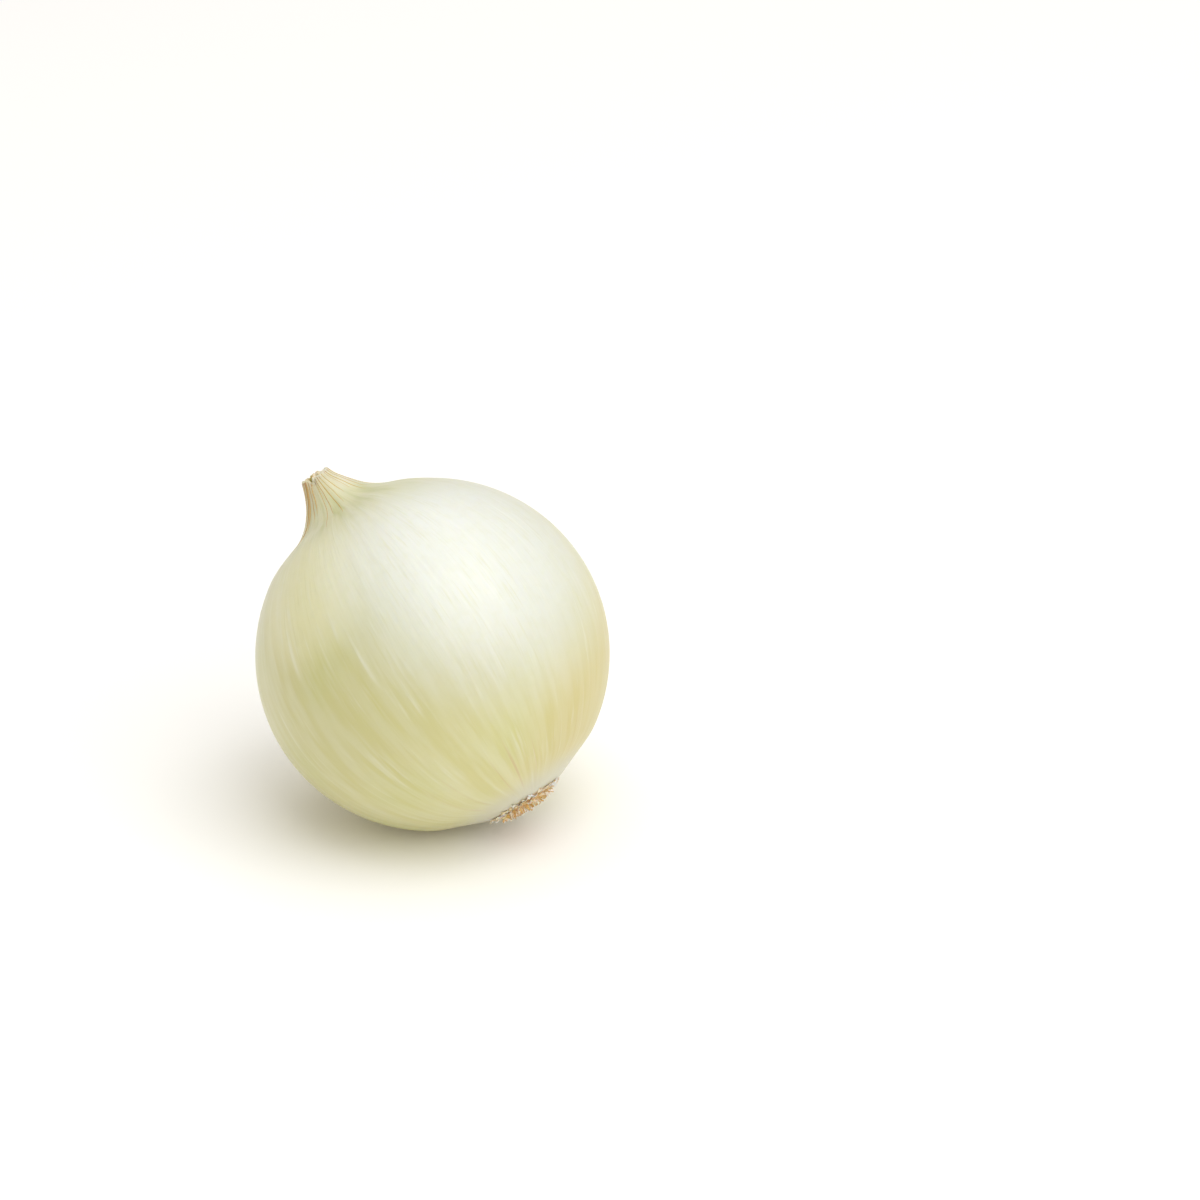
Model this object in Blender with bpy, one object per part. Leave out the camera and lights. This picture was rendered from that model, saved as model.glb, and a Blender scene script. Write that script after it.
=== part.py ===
"""A white pearl onion, trimmed at the neck and at the roots, lying on its side on a table.

The bulb's outer fleshy leaf narrows into a short neck that was cut across. A younger leaf, rolled up,
shows inside the cut. At the other end sits the root plate, the onion's very short stem, with the
stubs of its dried roots. The bulb leans towards -X and rests on a small flat spot on its underside.

Units are metres, +Z is up, and the table is the plane z = 0. Each piece is modelled along the
onion's own axis, with the middle of the round body at 0 and the neck towards +Z, and then takes the
onion's lean from the empty that it is parented to.
"""

import math
from typing import NamedTuple

import bmesh
import bpy
from mathutils import Matrix, Vector

# The round body and how it lies.
BULB_RADIUS = 0.0150
LEAN = math.radians(41.5)  # the onion's axis, away from upright
REST_SPOT_RADIUS = 0.0034

# A grown bulb isn't quite round: these swell it in two and in three places around its axis.
OVAL_SHARE = 0.006
OVAL_TURN = math.radians(35)
THREE_LOBE_SHARE = 0.004
THREE_LOBE_TURN = math.radians(80)

# It also falls away a little around the neck and around the root plate. The angles are away from
# the axis, and each pair says where such a hollow band starts and ends.
SHOULDER_DIP_SHARE = 0.009
SHOULDER_DIP_FROM = math.radians(7)
SHOULDER_DIP_TO = math.radians(38)
SHOULDER_DIP_EVENLY = 0.5
SHOULDER_DIP_TO_ONE_SIDE = 1.4
ROOT_DIP_SHARE = 0.012
ROOT_DIP_WIDTH = math.radians(24)

# The neck, from the body's pole to the cut.
NECK_LENGTH = 0.00315
NECK_RADIUS = 0.00125  # at the cut
NECK_FLARE_RADIUS = 0.0063  # the hollow curve that joins the neck to the body
NECK_SIDESTEP = 0.00055  # the cut's middle, beside the onion's axis
NECK_SIDESTEP_TURN = math.radians(-136)
NECK_CUT_SLANT = math.radians(9)
NECK_CUT_LOW_TURN = math.radians(-46)  # the side where the slanting cut is lowest
NECK_CUT_REACH = 0.0012  # how far down the neck the slant still tells
NECK_WALL = 0.00035

# The rolled young leaf in the neck.
LEAF_LENGTH = 0.0022
LEAF_TIP_SHARE = 0.72  # the tip's radius, as a share of the foot's
LEAF_BELOW_CUT = 0.00025
LEAF_SIDES = 16

# The root plate and the stubs on it.
ROOT_PLATE_RADIUS = 0.0029
ROOT_PLATE_THICKNESS = 0.0013
ROOT_PLATE_PROUD = 0.00035  # its face, beyond the body around it
ROOT_PLATE_SIDES = 40
ROOT_PLATE_EDGE = 0.00018
STUB_RADIUS = 0.00024
STUB_LENGTH = 0.00040
STUB_TIP_SHARE = 0.6
STUB_SIDES = 7
STUB_GAP = 0.00030  # between neighbours on a ring, and between rings
STUB_SINK = 0.00030

# Neighbouring pieces stay this far apart.
CLEARANCE = 0.0003

BULB_SIDES = 56
ARC_STEP = math.radians(6.5)
FLARE_STEP = math.radians(9)
TINY = 1e-9


class Finish(NamedTuple):
    """The Principled values of one kind of surface."""

    name: str
    colour: tuple
    roughness: float


PEARL_FLESH = Finish("pearl_flesh", (0.84, 0.82, 0.62), 0.32)
YOUNG_LEAF = Finish("young_leaf", (0.60, 0.62, 0.20), 0.40)
DRIED_ROOT = Finish("dried_root", (0.55, 0.38, 0.18), 0.85)


def clear_scene():
    for obj in list(bpy.data.objects):
        bpy.data.objects.remove(obj)


def material_of(finish):
    """The finish as a Principled material, made once."""
    found = bpy.data.materials.get(finish.name)
    if found:
        return found
    made = bpy.data.materials.new(finish.name)
    made.use_nodes = True
    shader = made.node_tree.nodes["Principled BSDF"]
    shader.inputs["Base Color"].default_value = (*finish.colour, 1)
    shader.inputs["Roughness"].default_value = finish.roughness
    return made


def rest_height():
    """How high the body's middle is, so that the table cuts the rest spot's circle out of it."""
    return math.sqrt(BULB_RADIUS**2 - REST_SPOT_RADIUS**2)


def neck_top():
    return BULB_RADIUS + NECK_LENGTH


def root_face():
    """Where the body ends around the root plate, along the axis."""
    return -math.sqrt(BULB_RADIUS**2 - seat_radius() ** 2)


def seat_radius():
    return ROOT_PLATE_RADIUS + CLEARANCE


def seat_floor():
    return root_face() - ROOT_PLATE_PROUD + ROOT_PLATE_THICKNESS + CLEARANCE


def flare_centre():
    """The middle of the flare's arc, as radius and height.

    The arc touches the round body from outside and ends at the cut's edge, so its middle is one
    body radius plus one flare radius from the body's middle, and one flare radius from that edge.
    """
    edge = Vector((NECK_RADIUS, neck_top()))
    reach = BULB_RADIUS + NECK_FLARE_RADIUS
    along = (reach**2 - NECK_FLARE_RADIUS**2 + edge.length_squared) / (2 * edge.length)
    across = math.sqrt(reach**2 - along**2)
    outward = Vector((edge.y, -edge.x)).normalized()
    return edge.normalized() * along + outward * across


def arc(centre, radius, start, end, step):
    """Points on an arc from angle start to angle end, measured from the onion's axis, both ends in."""
    count = max(1, math.ceil(abs(end - start) / step))
    angles = (start + (end - start) * i / count for i in range(count + 1))
    return [centre + radius * Vector((math.sin(a), math.cos(a))) for a in angles]


def bulb_outline():
    """The bulb's section as (radius, height) points, from the root plate's seat up to the neck's hollow."""
    flare = flare_centre()
    shoulder = math.atan2(flare.x, flare.y)
    to_body = shoulder + math.pi
    edge = Vector((NECK_RADIUS, neck_top())) - flare
    to_edge = math.atan2(edge.x, edge.y) % math.tau
    root_angle = math.pi - math.asin(seat_radius() / BULB_RADIUS)
    body = arc(Vector((0, 0)), BULB_RADIUS, root_angle, shoulder, ARC_STEP)
    neck = arc(flare, NECK_FLARE_RADIUS, to_body, to_edge, FLARE_STEP)[1:]
    seat = [Vector((0, seat_floor())), Vector((seat_radius(), seat_floor()))]
    hollow = [
        Vector((hollow_radius(), neck_top())),
        Vector((hollow_radius(), hollow_floor())),
        Vector((0, hollow_floor())),
    ]
    return seat + body + neck + hollow


def hollow_radius():
    return NECK_RADIUS - NECK_WALL


def hollow_floor():
    return neck_top() - LEAF_BELOW_CUT - LEAF_LENGTH - CLEARANCE


def spun(outline, sides):
    """A closed bmesh of the outline turned about Z. The outline starts and ends on the axis."""
    made = bmesh.new()
    points = [made.verts.new((p.x, 0, p.y)) for p in outline]
    edges = [made.edges.new(pair) for pair in zip(points, points[1:])]
    bmesh.ops.spin(
        made, geom=points + edges, cent=(0, 0, 0), axis=(0, 0, 1), angle=math.tau, steps=sides, use_merge=True
    )
    bmesh.ops.remove_doubles(made, verts=made.verts, dist=TINY)
    bmesh.ops.recalc_face_normals(made, faces=made.faces)
    return made


def band(angle, start, end):
    """A smooth rise from 0 to 1 and back to 0 between two angles."""
    if not start < angle < end:
        return 0.0
    return math.sin(math.pi * (angle - start) / (end - start)) ** 2


def dip(point):
    """How much the body falls away here, as a share of its radius.

    Near the neck that is most on the side the neck leans to. The other side bulges a little instead.
    """
    angle = math.atan2(math.hypot(point.x, point.y), point.z)
    turn = math.atan2(point.y, point.x)
    one_sided = SHOULDER_DIP_EVENLY + SHOULDER_DIP_TO_ONE_SIDE * math.cos(turn - NECK_SIDESTEP_TURN)
    shoulder = SHOULDER_DIP_SHARE * one_sided * band(angle, SHOULDER_DIP_FROM, SHOULDER_DIP_TO)
    seat_edge = math.pi - math.asin(seat_radius() / BULB_RADIUS)
    return shoulder + ROOT_DIP_SHARE * band(angle, seat_edge - ROOT_DIP_WIDTH, seat_edge)


def swell(point):
    """A point of the true round body, moved out or in to where the bulb grew."""
    turn = math.atan2(point.y, point.x)
    share = (
        OVAL_SHARE * math.cos(2 * (turn - OVAL_TURN))
        + THREE_LOBE_SHARE * math.cos(3 * (turn - THREE_LOBE_TURN))
    )
    belly = max(0.0, 1 - (point.z / BULB_RADIUS) ** 2)
    wider = 1 + share * belly
    return Vector((point.x * wider, point.y * wider, point.z)) * (1 - dip(point))


def eased(height, low, high):
    """A smooth rise from 0 at the low height to 1 at the high one."""
    rise = min(1.0, max(0.0, (height - low) / (high - low)))
    return rise * rise * (3 - 2 * rise)


def sideways(turn):
    return Vector((math.cos(turn), math.sin(turn), 0))


def sidestep(height):
    """How far the neck has moved off the onion's axis at this height."""
    shoulder = BULB_RADIUS * math.cos(math.atan2(*flare_centre()))
    return sideways(NECK_SIDESTEP_TURN) * NECK_SIDESTEP * eased(height, shoulder, neck_top())


def slant(point):
    """How far the slanting cut lowers a point near the neck's top."""
    fall = math.tan(NECK_CUT_SLANT) * point.dot(sideways(NECK_CUT_LOW_TURN))
    return fall * eased(point.z, neck_top() - NECK_CUT_REACH, neck_top())


def flatten_below(made, lean):
    """Cuts the mesh along the table and closes the cut, which leaves the rest spot."""
    to_axis = lean.inverted()
    point = to_axis @ Vector((0, 0, -rest_height()))
    down = to_axis @ Vector((0, 0, -1))
    everything = made.verts[:] + made.edges[:] + made.faces[:]
    cut = bmesh.ops.bisect_plane(made, geom=everything, plane_co=point, plane_no=down, clear_outer=True)
    rim = [e for e in cut["geom_cut"] if isinstance(e, bmesh.types.BMEdge)]
    bmesh.ops.contextual_create(made, geom=rim)
    bmesh.ops.recalc_face_normals(made, faces=made.faces)


def finished(name, made, finish, parent):
    """The bmesh as an object with its material, parented where it belongs."""
    mesh = bpy.data.meshes.new(name)
    made.to_mesh(mesh)
    made.free()
    mesh.shade_smooth()
    mesh.set_sharp_from_angle(angle=math.radians(35))
    mesh.materials.append(material_of(finish))
    obj = bpy.data.objects.new(name, mesh)
    bpy.context.scene.collection.objects.link(obj)
    obj.parent = parent
    return obj


def make_bulb(parent, lean):
    """The body and neck, one grown piece, with a seat for the root plate and a hollow for the leaf."""
    made = spun(bulb_outline(), BULB_SIDES)
    for vertex in made.verts:
        vertex.co = swell(vertex.co)
        vertex.co += sidestep(vertex.co.z) - Vector((0, 0, slant(vertex.co)))
    flatten_below(made, lean)
    return finished("bulb", made, PEARL_FLESH, parent)


def make_inner_leaf(parent):
    """The rolled young leaf: a tapered plug standing in the neck's hollow, clear of its wall."""
    foot = hollow_radius() - CLEARANCE
    tip = foot * LEAF_TIP_SHARE
    low = hollow_floor() + CLEARANCE
    high = low + LEAF_LENGTH
    rounding = tip / 2
    outline = [
        Vector((0, low)),
        Vector((foot, low)),
        Vector((tip, high - rounding)),
        Vector((tip - rounding / 3, high - rounding / 3)),
        Vector((tip - rounding, high)),
        Vector((0, high)),
    ]
    made = spun(outline, LEAF_SIDES)
    for vertex in made.verts:
        vertex.co += sidestep(vertex.co.z)
    return finished("inner_leaf", made, YOUNG_LEAF, parent)


def stub_places():
    """Where the root stubs stand: one in the middle, and rings of them out to the plate's edge."""
    pitch = 2 * STUB_RADIUS + STUB_GAP
    outermost = ROOT_PLATE_RADIUS - ROOT_PLATE_EDGE - STUB_RADIUS
    places = [Vector((0, 0))]
    for ring in range(1, int(outermost / pitch) + 1):
        radius = outermost * ring / int(outermost / pitch)
        count = int(math.tau * radius / pitch)
        for i in range(count):
            turn = math.tau * (i + ring / 2) / count
            places.append(radius * Vector((math.cos(turn), math.sin(turn))))
    return places


def stub_tool(parent, face):
    """All the stubs as one helper mesh, sunk a little into the plate so that a union joins them."""
    made = bmesh.new()
    depth = STUB_LENGTH + STUB_SINK
    for place in stub_places():
        middle = face + STUB_SINK - depth / 2
        bmesh.ops.create_cone(
            made,
            cap_ends=True,
            segments=STUB_SIDES,
            radius1=STUB_RADIUS * STUB_TIP_SHARE,
            radius2=STUB_RADIUS,
            depth=depth,
            matrix=Matrix.Translation((place.x, place.y, middle)),
        )
    tool = finished("root_stub_shapes", made, DRIED_ROOT, parent)
    tool.hide_render = True
    tool.display_type = "WIRE"
    return tool


def make_root_plate(parent):
    """The onion's short stem, a disc seated in the bulb, with the dried stubs standing on its face."""
    face = root_face() - ROOT_PLATE_PROUD
    back = face + ROOT_PLATE_THICKNESS
    outline = [
        Vector((0, face)),
        Vector((ROOT_PLATE_RADIUS - ROOT_PLATE_EDGE, face)),
        Vector((ROOT_PLATE_RADIUS, face + ROOT_PLATE_EDGE)),
        Vector((ROOT_PLATE_RADIUS, back)),
        Vector((0, back)),
    ]
    plate = finished("root_plate", spun(outline, ROOT_PLATE_SIDES), DRIED_ROOT, parent)
    union = plate.modifiers.new("root_stubs", "BOOLEAN")
    union.operation = "UNION"
    union.solver = "EXACT"
    union.object = stub_tool(parent, face)
    return plate


def build_onion():
    clear_scene()
    axis = bpy.data.objects.new("onion_axis", None)
    bpy.context.scene.collection.objects.link(axis)
    axis.location = (0, 0, rest_height())
    axis.rotation_euler = (0, -LEAN, 0)
    lean = axis.rotation_euler.to_matrix()
    make_bulb(axis, lean)
    make_inner_leaf(axis)
    make_root_plate(axis)


build_onion()
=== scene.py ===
# %% [markdown]
# # A white pearl onion
# This lesson dresses a plain CAD model of a small onion until it looks alive. The CAD model has three
# pieces: the bulb with its neck, the young leaf inside the neck, and the root plate. The model is our
# ruler: the body's size, place and lean are read from it, the smaller sizes are kept to it, and
# nothing of it is moved.

# %% Open the CAD model
import math

import bpy
from mathutils import Matrix, Vector
from mathutils.bvhtree import BVHTree


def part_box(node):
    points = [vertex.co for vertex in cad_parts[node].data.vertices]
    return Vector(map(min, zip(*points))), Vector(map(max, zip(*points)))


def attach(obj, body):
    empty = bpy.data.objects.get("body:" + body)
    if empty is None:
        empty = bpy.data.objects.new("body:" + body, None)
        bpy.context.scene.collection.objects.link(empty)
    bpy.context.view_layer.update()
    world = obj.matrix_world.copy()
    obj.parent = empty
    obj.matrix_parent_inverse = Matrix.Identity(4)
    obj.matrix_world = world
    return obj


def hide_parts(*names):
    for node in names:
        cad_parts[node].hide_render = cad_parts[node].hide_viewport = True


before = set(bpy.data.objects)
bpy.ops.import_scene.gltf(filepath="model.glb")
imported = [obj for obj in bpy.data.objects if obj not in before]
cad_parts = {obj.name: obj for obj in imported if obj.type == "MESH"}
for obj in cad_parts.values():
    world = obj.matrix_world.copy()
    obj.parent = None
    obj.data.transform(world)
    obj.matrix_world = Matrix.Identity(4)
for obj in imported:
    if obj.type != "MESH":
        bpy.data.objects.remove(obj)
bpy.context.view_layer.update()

print("CAD nodes:", sorted(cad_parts))

# %% [markdown]
# ## Finding the onion's own axis
# The onion lies on its side, so its axis leans. An axis is easiest to work with when it stands
# upright, so each piece is modelled upright around Z, and a matrix lays it down at the end. The body
# is as good as round, so its middle is the middle of its box across, and half its width above the
# table less what the resting spot took off. The root plate's middle gives the lean.

# %% Measure the body and its lean
bulb_low, bulb_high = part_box("bulb")
BODY_RADIUS = (bulb_high.y - bulb_low.y) / 2
REST_SPOT_RADIUS = 0.0034
body_middle = Vector((0, 0, math.sqrt(BODY_RADIUS**2 - REST_SPOT_RADIUS**2)))
plate_middle = sum(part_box("root_plate"), Vector()) / 2
onion_axis = (body_middle - plate_middle).normalized()
LEAN = math.atan2(-onion_axis.x, onion_axis.z)
LAY_DOWN = Matrix.Translation(body_middle) @ Matrix.Rotation(-LEAN, 4, "Y")
TO_UPRIGHT = LAY_DOWN.to_3x3().inverted()
table_up = (TO_UPRIGHT @ Vector((0, 0, 1))).normalized()
print(f"body radius {1000 * BODY_RADIUS:.2f} mm, lean {math.degrees(LEAN):.1f} degrees")

# %% [markdown]
# ## Writing node trees as formulas
# A node tree made by a script soon becomes a long list of links. A small class keeps it readable: a
# `Flow` is one node's output, and adding or multiplying two flows adds the Math node that does it.
# Geometry trees and material trees share the same Math, Noise and Map Range nodes, so one class
# serves both.


# %% Helpers that add nodes
def feed(tree, socket, value):
    """Links a flow to the socket, or sets a plain value on it."""
    if isinstance(value, Flow):
        tree.links.new(value.socket, socket)
    else:
        socket.default_value = value


def add_node(tree, kind, inputs=None, **settings):
    """A new node with its settings made and its inputs fed."""
    made = tree.nodes.new(kind)
    for name, value in settings.items():
        setattr(made, name, value)
    for name, value in (inputs or {}).items():
        feed(tree, made.inputs[name], value)
    return made


def flow(tree, kind, inputs=None, out=0, **settings):
    """One output of a new node, as a flow."""
    return Flow(tree, add_node(tree, kind, inputs, **settings).outputs[out])


def maths(operation, *values):
    """The result of one Math node. At least one of the values is a flow."""
    tree = next(v.tree for v in values if isinstance(v, Flow))
    return flow(tree, "ShaderNodeMath", dict(enumerate(values)), operation=operation)


# %% Values that can be added and multiplied
class Flow:
    """One value on its way through a tree. Its sums are Math nodes."""

    def __init__(self, tree, socket):
        self.tree = tree
        self.socket = socket

    def __add__(self, other):
        return maths("ADD", self, other)

    def __sub__(self, other):
        return maths("SUBTRACT", self, other)

    def __rsub__(self, other):
        return maths("SUBTRACT", other, self)

    def __mul__(self, other):
        return maths("MULTIPLY", self, other)

    def __truediv__(self, other):
        return maths("DIVIDE", self, other)

    def __rtruediv__(self, other):
        return maths("DIVIDE", other, self)

    def __pow__(self, other):
        return maths("POWER", self, other)

    def __neg__(self):
        return maths("SUBTRACT", 0.0, self)

    __radd__ = __add__
    __rmul__ = __mul__

    def cos(self):
        return maths("COSINE", self)

    def sin(self):
        return maths("SINE", self)

    def at_least(self, low):
        return maths("MAXIMUM", self, low)

    def rise(self, start, end, low=0.0, high=1.0):
        """A smooth step from low at start to high at end."""
        inputs = {"Value": self, "From Min": start, "From Max": end, "To Min": low, "To Max": high}
        return flow(self.tree, "ShaderNodeMapRange", inputs, interpolation_type="SMOOTHSTEP")

    def band(self, start, end):
        """A smooth hill, 0 at start and at end and 1 halfway."""
        share = {"Value": self, "From Min": start, "From Max": end, "To Min": 0.0, "To Max": math.pi}
        return flow(self.tree, "ShaderNodeMapRange", share).sin() ** 2


# %% Vectors and noise
def vector_of(tree, x, y, z):
    """Three values as one vector."""
    return flow(tree, "ShaderNodeCombineXYZ", {0: x, 1: y, 2: z})


def parts_of(vector):
    """The three values of a vector."""
    made = add_node(vector.tree, "ShaderNodeSeparateXYZ", {0: vector})
    return [Flow(vector.tree, out) for out in made.outputs]


def vector_maths(operation, *vectors):
    """The result of one Vector Math node, which is a plain value for a dot product."""
    tree = next(v.tree for v in vectors if isinstance(v, Flow))
    out = "Value" if operation == "DOT_PRODUCT" else "Vector"
    return flow(tree, "ShaderNodeVectorMath", dict(enumerate(vectors)), out, operation=operation)


def scaled(vector, amount):
    """The vector, longer or shorter by that factor."""
    return flow(vector.tree, "ShaderNodeVectorMath", {0: vector, 3: amount}, operation="SCALE")


def noise(vector, scale, detail=2.0, roughness=0.5):
    """Smooth noise between about 0 and 1, with 0.5 in the middle."""
    inputs = {"Vector": vector, "Scale": scale, "Detail": detail, "Roughness": roughness}
    return flow(vector.tree, "ShaderNodeTexNoise", inputs)


# %% [markdown]
# ## The outline of the bulb
# Half of the onion's section, from the seat of the root plate round the body and up the neck, is one
# line. It could be drawn by hand as a curve, but two arcs say it better: a large one for the body,
# and a small hollow one that joins the neck to it. The line then turns in over the cut and goes down
# inside the neck.

# %% Sizes of the outline
NECK_TOP = 0.01815
NECK_RADIUS = 0.00128
NECK_WALL = 0.00024
NECK_FLARE_RADIUS = 0.0063
NECK_HOLLOW_DEPTH = 0.0024
SEAT_RADIUS = 0.0023
SEAT_DEPTH = 0.0012
BODY_STEP = math.radians(1.15)
FLARE_STEP = math.radians(1.3)
LIP_STEP = math.radians(36)
SEAT_ROWS = 4
WALL_ROWS = 14
FLOOR_ROWS = 3
BULB_SIDES = 480


# %% Draw the outline
def arc(middle, radius, start, end, step):
    """Points on an arc between two angles, which are measured from the onion's axis."""
    count = math.ceil(abs(end - start) / step)
    angles = (start + (end - start) * i / count for i in range(count + 1))
    return [middle + radius * Vector((math.sin(a), math.cos(a))) for a in angles]


def flare_middle():
    """The middle of the small arc, which touches the body's arc and ends at the cut's edge."""
    edge = Vector((NECK_RADIUS, NECK_TOP))
    reach = BODY_RADIUS + NECK_FLARE_RADIUS
    along = (reach**2 - NECK_FLARE_RADIUS**2 + edge.length_squared) / (2 * edge.length)
    across = math.sqrt(reach**2 - along**2)
    outward = Vector((edge.y, -edge.x)).normalized()
    return edge.normalized() * along + outward * across


def straight(start, end, count):
    """That many points on the way from start to end, without the start."""
    return [start.lerp(end, i / count) for i in range(1, count + 1)]


def bulb_outline():
    """(radius, height) points from the middle of the seat to the floor of the neck's hollow."""
    flare = flare_middle()
    shoulder = math.atan2(flare.x, flare.y)
    edge = Vector((NECK_RADIUS, NECK_TOP)) - flare
    to_edge = math.atan2(edge.x, edge.y) % math.tau
    seat_rim = math.pi - math.asin(SEAT_RADIUS / BODY_RADIUS)
    body = arc(Vector((0, 0)), BODY_RADIUS, seat_rim, shoulder, BODY_STEP)
    neck = arc(flare, NECK_FLARE_RADIUS, shoulder + math.pi, to_edge, FLARE_STEP)[1:]
    seat_floor = Vector((SEAT_RADIUS, body[0].y + SEAT_DEPTH))
    lip_radius = NECK_WALL / 2
    lip_middle = neck[-1] - Vector((lip_radius, 0))
    lip = arc(lip_middle, lip_radius, math.pi / 2, -math.pi / 2, LIP_STEP)[1:]
    wall_foot = lip[-1] - Vector((0, NECK_HOLLOW_DEPTH))
    wall = straight(lip[-1], wall_foot, WALL_ROWS)
    floor = straight(wall_foot, Vector((0, wall_foot.y)), FLOOR_ROWS)
    seat = [Vector((0, seat_floor.y)), seat_floor] + straight(seat_floor, body[0], SEAT_ROWS)[:-1]
    return seat + body + neck + lip + wall + floor


outline_points = bulb_outline()
print(f"{len(outline_points)} points on the outline, {BULB_SIDES} sides around it")


# %% The outline as an object
def add_object(name, data):
    """A new object in the scene, at the origin."""
    obj = bpy.data.objects.new(name, data)
    bpy.context.scene.collection.objects.link(obj)
    return obj


def outline_object(name, points):
    """The outline as a line of edges, with how far along it each point is as an attribute."""
    mesh = bpy.data.meshes.new(name)
    mesh.from_pydata([(p.x, 0, p.y) for p in points], [(i, i + 1) for i in range(len(points) - 1)], [])
    along = mesh.attributes.new("along", "FLOAT", "POINT")
    distance = 0.0
    for i, point in enumerate(points):
        distance += (point - points[i - 1]).length if i else 0.0
        along.data[i].value = distance
    return add_object(name, mesh)


# %% [markdown]
# ## Growing the bulb
# A real bulb is a stack of leaves that swelled from the inside, so its shape follows rules: it is
# round about its axis, a little oval, slightly hollow round the neck and round the roots, and ribbed
# from neck to root by its veins. Rules suit Geometry Nodes. The tree below spins the outline into a
# grid of rings, and then moves each point by those rules. A lattice or sculpting would give the same
# shape, but would be hard to repeat or to change.

# %% Sizes of the bulb's growth
GROWTH = {
    "Oval share": 0.006,
    "Oval turn": math.radians(35),
    "Lobe share": 0.004,
    "Lobe turn": math.radians(80),
    "Shoulder dip": 0.0095,
    "Shoulder dip from": math.radians(3),
    "Shoulder dip to": math.radians(35),
    "Dip evenly": 0.5,
    "Dip to one side": 1.4,
    "Root dip": 0.014,
    "Root dip width": math.radians(26),
    "Rib depth": 0.0026,
    "Ribs around": 5.5,
    "Ribs along": 0.35,
    "Ribs from": math.radians(4),
    "Ribs to": math.radians(178),
    "Pleat depth": 0.11,
    "Pleats around": 2.6,
    "Pleats along": 90.0,
    "Pleats from": BODY_RADIUS * 0.9,
    "Neck pad": 0.00020,
    "Neck pad from": BODY_RADIUS * 0.97,
    "Neck sidestep": 0.00030,
    "Neck lean turn": math.radians(-136),
    "Cut slant": math.tan(math.radians(9)),
    "Cut low turn": math.radians(-46),
    "Cut reach": 0.0012,
    "Rag height": 0.00032,
    "Rag reach": 0.0009,
    "Rags around": 2.4,
    "Notch depth": 0.0003,
    "Notch turn": math.radians(-72),
    "Notch edge": 0.93,
    "Seed": 3.7,
}


# %% How the body grows
def uneven(vector, detail, roughness, depth):
    """Noise that goes up and down about 0, by half of depth each way."""
    return (noise(vector, 1.0, detail, roughness) - 0.5) * depth


def wider_share(sizes, height, turn):
    """How much wider than the outline the body is: a little oval and a little three-sided."""
    belly = (1 - (height / BODY_RADIUS) ** 2).at_least(0)
    oval = sizes["Oval share"] * (2 * (turn - sizes["Oval turn"])).cos()
    lobes = sizes["Lobe share"] * (3 * (turn - sizes["Lobe turn"])).cos()
    return 1 + (oval + lobes) * belly


def in_share(tree, sizes, angle, circle, turn):
    """How far from the middle a point is: hollow round the neck and the roots, and ribbed."""
    one_sided = sizes["Dip evenly"] + sizes["Dip to one side"] * (turn - sizes["Neck lean turn"]).cos()
    shoulder_band = angle.band(sizes["Shoulder dip from"], sizes["Shoulder dip to"])
    shoulder = sizes["Shoulder dip"] * one_sided * shoulder_band
    seat_edge = math.pi - math.asin(SEAT_RADIUS / BODY_RADIUS)
    root = sizes["Root dip"] * angle.band(seat_edge - sizes["Root dip width"], seat_edge)
    around = [c * sizes["Ribs around"] for c in circle]
    rib_space = vector_of(tree, *around, angle * sizes["Ribs along"] + sizes["Seed"])
    rib_band = angle.band(sizes["Ribs from"], sizes["Ribs to"])
    return 1 - shoulder - root + uneven(rib_space, 2.0, 0.55, sizes["Rib depth"]) * rib_band


# %% How the neck grows
def pleat_share(tree, sizes, height, circle, neck_rise):
    """How much the shrunken neck folds in and out."""
    around = [c * sizes["Pleats around"] for c in circle]
    pleat_space = vector_of(tree, *around, height * sizes["Pleats along"] + sizes["Seed"])
    return 1 + uneven(pleat_space, 1.0, 0.5, 2 * sizes["Pleat depth"]) * neck_rise


def neck_pad(sizes, radius, height, turn):
    """How much fuller the neck is on the side that it leans away from."""
    off_lean = (1 - (turn - sizes["Neck lean turn"]).cos()) * 0.5 * radius.rise(0.0, NECK_RADIUS)
    return sizes["Neck pad"] * off_lean * height.band(sizes["Neck pad from"], NECK_TOP)


def cut_drop(tree, sizes, place, height, circle, turn):
    """How far the slanting, ragged and notched cut falls below the neck's top."""
    x, y = place
    towards_low = x * sizes["Cut low turn"].cos() + y * sizes["Cut low turn"].sin()
    slant = sizes["Cut slant"] * towards_low * height.rise(NECK_TOP - sizes["Cut reach"], NECK_TOP)
    rag_space = vector_of(tree, *[c * sizes["Rags around"] for c in circle], sizes["Seed"])
    near_rim = height.rise(NECK_TOP - sizes["Rag reach"], NECK_TOP)
    rag = uneven(rag_space, 3.0, 0.5, 2 * sizes["Rag height"]) * near_rim
    from_notch = (turn - sizes["Notch turn"]).cos().rise(sizes["Notch edge"], 1.0)
    notch = sizes["Notch depth"] * from_notch * near_rim
    return slant - rag + notch


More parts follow.
